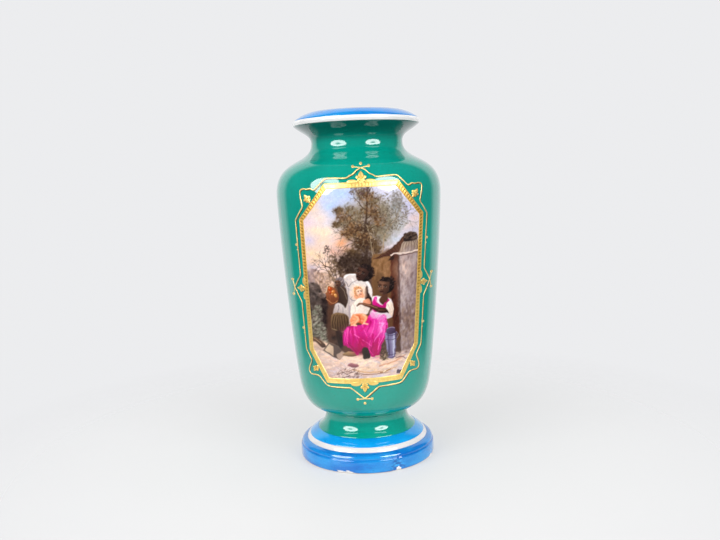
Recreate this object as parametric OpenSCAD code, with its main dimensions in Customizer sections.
// Two-piece porcelain vase: a baluster body on a turned foot, drawn together by a bolt
// through the waist, with fired enamel and gilding in thin layers on the glaze.
// The front, with the painted panel, faces -Y. The origin is on the table, on the axis.

/* [Overall] */
// Height from the table to the top of the lip
total_h = 360; // [352:1:368]
// Height of the foot, from the table to the waist
foot_h = 50; // [48:1:52]

/* [Body] */
// Radius of the body's base, where it sits on the foot
waist_r = 43.4; // [42:0.2:45]
// Radius low on the side, above the curl of the base
low_r = 70; // [68:0.5:72]
// Largest radius, at the shoulder
shoulder_r = 85.2; // [83:0.2:88]
// Outer radius of the neck at its narrowest
neck_r = 47.2; // [46:0.2:49]
// Height of the widest place below the top
shoulder_drop = 83; // [81:0.5:86]
// Height of the narrowest place below the top
neck_drop = 31; // [30:0.5:32]
// Thickness of the porcelain in the body
wall = 5; // [4:0.5:5.5]
// Thickness of the floor inside the body
floor_t = 7; // [6:0.5:8]

/* [Lip] */
// Radius of the lip's edge
lip_r = 65.4; // [64:0.2:67]
// Height of the lip's edge below the top
lip_drop = 13; // [12.5:0.5:14]
// Radius of the lip's crest, at the very top
crest_r = 46.3; // [46:0.2:48]

/* [Foot] */
// Radius of the arris below the foot's hollow moulding
arris_r = 52.1; // [51:0.2:54]
// Radius of the plinth at the table
plinth_r = 71.5; // [70.5:0.5:73]
// Height of the plinth
plinth_h = 13.6; // [12.5:0.2:14]
// Thickness of the web at the top of the foot
web_t = 7; // [6:0.5:8]

/* [Bolt joint] */
// Diameter of the bolt
bolt_d = 6; // [5:0.5:6]
// Diameter of the holes in the porcelain
hole_d = 9; // [8:0.5:11]
// Diameter of the metal washers
washer_d = 22; // [18:1:26]
// Thickness of the metal washers
washer_t = 1.5; // [1:0.1:2]
// Diameter of the cork washers
cork_d = 26; // [24:1:30]
// Thickness of the cork washers
cork_t = 2; // [1.5:0.1:3]
// Thickness of the cork ring between the body and the foot
gasket_t = 1; // [0.8:0.1:1.2]
// Width of the square nut
nut_w = 10; // [9:0.5:12]

/* [Decoration] */
// Thickness of the fired enamel
enamel_t = 0.25; // [0.2:0.05:0.4]
// Thickness of the raised gilding of the frame
gilt_t = 0.4; // [0.3:0.05:0.6]
// Width of the gilt outline
line_w = 1.1; // [0.8:0.1:1.4]
// Lean of the hand-laid decoration, in mm sideways for each mm of height
deco_lean = 0.016; // [0:0.002:0.02]
// Tilt of the hand-laid decoration, in mm up for each mm sideways
deco_tilt = 0.02; // [0:0.002:0.03]

/* [Hidden] */
$fn = 96;

porcelain = "whitesmoke";
ground = "teal";
blue = "dodgerblue";
gold = "goldenrod";
steel = "silver";
cork = "peru";

base_z = foot_h + gasket_t;
floor_z = base_z + floor_t;
curl_h = 35;
low_z = base_z + curl_h;
shoulder_z = total_h - shoulder_drop;
neck_z = total_h - neck_drop;
lip_z = total_h - lip_drop;
curve_steps = 12;
bolt_r = bolt_d / 2;
hole_r = hole_d / 2;
washer_clear = 0.3;
web_z = foot_h - web_t;

// ---- curves, as [radius, height] points ----

// Points along a cubic Bezier curve
function bezier(a, b, c, d, n = curve_steps) =
    [for (i = [0 : n]) let (t = i / n, u = 1 - t)
        a * u * u * u + 3 * b * u * u * t + 3 * c * u * t * t + d * t * t * t];

// A path without its last point, for joining to a next one
function head(p) = [for (i = [0 : len(p) - 2]) p[i]];

function reversed(p) = [for (i = [len(p) - 1 : -1 : 0]) p[i]];

// Unit normal to the left of a path at point i
function normal_at(p, i) =
    let (a = p[max(i - 1, 0)], b = p[min(i + 1, len(p) - 1)], d = (b - a) / norm(b - a))
    [-d[1], d[0]];

// A path moved sideways: a positive distance moves it to the right of its direction
function beside(p, dist) = [for (i = [0 : len(p) - 1]) p[i] - dist * normal_at(p, i)];

// The body's outside, from the edge of its base up to the lip's edge
side_lead = [3.5, 24.5];
base_curl = bezier([waist_r, base_z], [58, base_z + 1.5], [low_r, low_z] - side_lead, [low_r, low_z]);
side = bezier([low_r, low_z], [low_r, low_z] + 2 * side_lead, [shoulder_r, shoulder_z - 22],
    [shoulder_r, shoulder_z]);
shoulder = bezier([shoulder_r, shoulder_z], [shoulder_r, shoulder_z + 39.5], [neck_r, neck_z - 22],
    [neck_r, neck_z], 18);
flare = bezier([neck_r, neck_z], [neck_r, neck_z + 9], [lip_r - 10.5, lip_z - 9], [lip_r, lip_z]);
body_curve = concat(head(base_curl), head(side), head(shoulder), flare);

// The cushion of the lip: its white edge, then its crest, then the roll into the mouth
mouth_r = neck_r - wall;
lip_dome = bezier([lip_r, lip_z + 1.4], [lip_r + 2.2, lip_z + 4.8], [crest_r + 7, total_h],
    [crest_r, total_h], 20);
lip_roll = bezier([crest_r, total_h], [crest_r - 3, total_h], [mouth_r, total_h - 4],
    [mouth_r, total_h - 12], 8);
white_edge_steps = 5;

// The foot's outside, from the waist down to the table
scotia = bezier([waist_r, foot_h], [waist_r, foot_h - 10], [arris_r - 8, foot_h - 14],
    [arris_r, foot_h - 20]);
slope = bezier([arris_r, foot_h - 20], [arris_r + 4, foot_h - 22], [arris_r + 7, foot_h - 24.2],
    [arris_r + 9.1, foot_h - 26.3], 6);
white_step = bezier([arris_r + 9.1, foot_h - 26.3], [arris_r + 10.6, foot_h - 27.8],
    [arris_r + 11.7, foot_h - 29.2], [arris_r + 12.1, foot_h - 30.8], 4);
ovolo = bezier([arris_r + 12.1, foot_h - 30.8], [plinth_r - 3.3, foot_h - 31.3],
    [plinth_r - 1.6, foot_h - 32.6], [plinth_r - 1.3, plinth_h + 0.6], 8);
plinth = concat([[plinth_r - 0.5, plinth_h]],
    bezier([plinth_r - 0.5, plinth_h - 0.6], [plinth_r, plinth_h - 3], [plinth_r, plinth_h - 6],
        [plinth_r, 3.5], 6));
plinth_round = bezier([plinth_r, 3.5], [plinth_r - 0.1, 1.2], [plinth_r - 1, 0], [plinth_r - 3, 0], 6);
enamel_end_steps = 3;
foot_hollow = concat(
    bezier([plinth_r - 9, 0], [plinth_r - 11, 1], [plinth_r - 10.5, 14], [plinth_r - 16, 18], 6),
    bezier([plinth_r - 18, 19.5], [plinth_r - 26, 25], [waist_r - 6, web_z - 12],
        [waist_r - 6, web_z - 1], 8),
    [[waist_r - 7, web_z]]);

// ---- shapes ----

// A ring or disc turned about the axis, between two heights
module ring(z, t, r_out, r_in) {
    translate([0, 0, z]) difference() {
        cylinder(h = t, r = r_out);
        translate([0, 0, -1]) cylinder(h = t + 2, r = r_in);
    }
}

// A thin layer that follows a path, from one distance outside it to another
module layer(path, from, to) {
    rotate_extrude() polygon(concat(beside(path, to), reversed(beside(path, from))));
}

// A flat outline in x and z, carried through the front half of the vase
module through_front() {
    rotate([90, 0, 0]) linear_extrude(height = shoulder_r + 10) children();
}

// A layer of the body's front, cut to the flat outline given
module front_layer(from, to) {
    intersection() {
        layer(concat(head(side), shoulder), from, to);
        through_front() children();
    }
}

// ---- outlines of the decoration, in x and z, right half from the top to the bottom ----

deco_mid_z = 187;
function askew(p) = [p[0] + deco_lean * (p[1] - deco_mid_z), p[1] + deco_tilt * p[0]];
function mirrored(p) = [for (q = reversed(p)) [-q[0], q[1]]];
function both_sides(p) = [for (q = concat(p, mirrored(p))) askew(q)];

frame_outer = [[35.2, 288.6], [59.9, 256], [53.8, 125.5], [37, 92.6]];
frame_inner = [[32.8, 283.2], [55.8, 254.4], [49.8, 127], [34.8, 98]];

top_tip = [0, 301.5];
side_tip = [67.4, 188];
bottom_tip = [0, 76.5];
line_top = [top_tip, [4, 299.6], [8, 295.6], [10.8, 294.6], [13.8, 292.4], [31, 293.4], [34.6, 292.8],
    [44.8, 282.6], [48.2, 285], [51.6, 284], [55.4, 285], [58.6, 283.4], [58.4, 278], [57, 271],
    [56.3, 267.4], [60, 262], [64, 255], [60.8, 201], [64, 195], side_tip];
line_bottom = [side_tip, [64, 181], [60.2, 174], [57.3, 124.5], [52, 114.5], [54.6, 107], [55.4, 102],
    [53, 99.2], [48.4, 99.6], [44.5, 98.8], [37.6, 90.2], [34, 88.9], [13.8, 88.4], [7, 82.6],
    bottom_tip];
side_beads = [[63.6, 231], [59.4, 147]];

// A band of even width along an open path
module stroke(p, w = line_w) {
    polygon(concat(beside(p, w / 2), reversed(beside(p, -w / 2))));
}

// A round drop of gold
module bead(r = 1.2) {
    circle(r = r, $fn = 24);
}

// A short stroke with a bead at its end
module bud(from, to) {
    stroke([askew(from), askew(to)], 0.9);
    translate(askew(to)) bead();
}

// A leaf of three lobes on a stem, pointing up from the origin
module leaf(size = 1) {
    scale(size) {
        polygon([[-1.2, -1], [1.2, -1], [2.6, 3], [3.8, 4], [2.4, 7.4], [0, 10.4], [-2.4, 7.4],
            [-3.8, 4], [-2.6, 3]]);
        for (s = [-1, 1]) translate([3.4 * s, 4.6]) circle(r = 1.7, $fn = 24);
    }
}

// ---- the pieces ----

module body() {
    inside = [for (p = beside(concat(head(base_curl), head(side), shoulder), -wall))
        if (p[1] > floor_z + 2) p];
    color(porcelain) rotate_extrude() polygon(concat(
        head(body_curve), [[lip_r, lip_z]], head(lip_dome), lip_roll, reversed(inside),
        [[inside[0][0] - 3, floor_z], [hole_r, floor_z], [hole_r, base_z]]));
}

module foot() {
    color(porcelain) rotate_extrude() polygon(concat(
        [[hole_r, foot_h]], head(scotia), head(slope), head(white_step), ovolo, head(plinth),
        plinth_round, foot_hollow, [[hole_r, web_z]]));
}

module seat_gasket() {
    color(cork) ring(foot_h, gasket_t, waist_r - 2.4, hole_r);
}

upper_washer_z = floor_z + cork_t;
head_z = upper_washer_z + washer_t;
lower_washer_z = web_z - cork_t - washer_t;
nut_h = 5;
nut_z = lower_washer_z - nut_h;
head_r = 6;
head_h = 4;
bolt_past_nut = 3;

module tie_bolt() {
    slot_w = 1.4;
    slot_depth = 1.6;
    color(steel) {
        translate([0, 0, nut_z - bolt_past_nut]) cylinder(h = head_z - nut_z + bolt_past_nut, r = bolt_r);
        difference() {
            translate([0, 0, head_z]) cylinder(h = head_h, r = head_r);
            translate([-head_r - 1, -slot_w / 2, head_z + head_h - slot_depth])
                cube([2 * head_r + 2, slot_w, slot_depth + 1]);
        }
    }
}

module upper_cork_washer() {
    color(cork) ring(floor_z, cork_t, cork_d / 2, bolt_r + washer_clear);
}

module upper_washer() {
    color(steel) ring(upper_washer_z, washer_t, washer_d / 2, bolt_r + washer_clear);
}

module lower_cork_washer() {
    color(cork) ring(web_z - cork_t, cork_t, cork_d / 2, bolt_r + washer_clear);
}

module lower_washer() {
    color(steel) ring(lower_washer_z, washer_t, washer_d / 2, bolt_r + washer_clear);
}

module nut() {
    color(steel) translate([0, 0, nut_z]) difference() {
        translate([-nut_w / 2, -nut_w / 2, 0]) cube([nut_w, nut_w, nut_h]);
        translate([0, 0, -1]) cylinder(h = nut_h + 2, r = bolt_r);
    }
}

// ---- the fired layers ----

module body_green_ground() {
    color(ground) difference() {
        layer(body_curve, 0, enamel_t);
        through_front() polygon(both_sides(frame_outer));
    }
}

module rim_blue_enamel() {
    path = concat([for (i = [white_edge_steps : len(lip_dome) - 2]) lip_dome[i]],
        [for (i = [0 : 2]) lip_roll[i]]);
    color(blue) layer(path, 0, enamel_t);
}

module foot_green_ground() {
    color(ground) layer(scotia, 0, -enamel_t);
}

module foot_sky_blue_enamel() {
    color("deepskyblue") layer(slope, 0, -enamel_t);
}

module foot_deep_blue_enamel() {
    path = concat(ovolo, head(plinth), [for (i = [0 : enamel_end_steps]) plinth_round[i]]);
    color(blue) layer(path, 0, -enamel_t);
}

module painted_panel() {
    color("tan") front_layer(0, enamel_t) polygon(both_sides(frame_inner));
}

module gilt_frame() {
    color(gold) front_layer(0, gilt_t) difference() {
        polygon(both_sides(frame_outer));
        polygon(both_sides(frame_inner));
    }
}

module gilt_outline() {
    color(gold) front_layer(enamel_t, 2 * enamel_t) {
        for (line = [line_top, line_bottom]) {
            stroke([for (p = line) askew(p)]);
            stroke([for (p = mirrored(line)) askew(p)]);
        }
        for (s = [-1, 1]) {
            bud(top_tip, [7.5 * s, 303]);
            bud(bottom_tip, [7 * s, 76]);
            bud([side_tip[0] * s, side_tip[1]], [69.5 * s, 195.5]);
            bud([side_tip[0] * s, side_tip[1]], [69 * s, 180.5]);
            for (p = side_beads) translate(askew([p[0] * s, p[1]])) bead();
        }
        translate(askew([0, 305.5])) bead();
        translate(askew([0, 71.5])) bead();
    }
}

module gilt_leaves() {
    color(gold) front_layer(enamel_t, 2 * enamel_t) {
        translate(askew([0, 289.5])) leaf(0.85);
        translate(askew([0, 91.5])) rotate(180) leaf(0.8);
        for (s = [-1, 1]) {
            translate(askew([58 * s, 187.5])) rotate(-90 * s) leaf(0.65);
            translate(askew([49.5 * s, 272.5])) rotate(-35 * s) leaf(0.75);
            translate(askew([46.6 * s, 108.4])) rotate(-145 * s) leaf(0.6);
        }
    }
}

body();
foot();
seat_gasket();
tie_bolt();
upper_cork_washer();
upper_washer();
lower_cork_washer();
lower_washer();
nut();
body_green_ground();
rim_blue_enamel();
foot_green_ground();
foot_sky_blue_enamel();
foot_deep_blue_enamel();
painted_panel();
gilt_frame();
gilt_outline();
gilt_leaves();
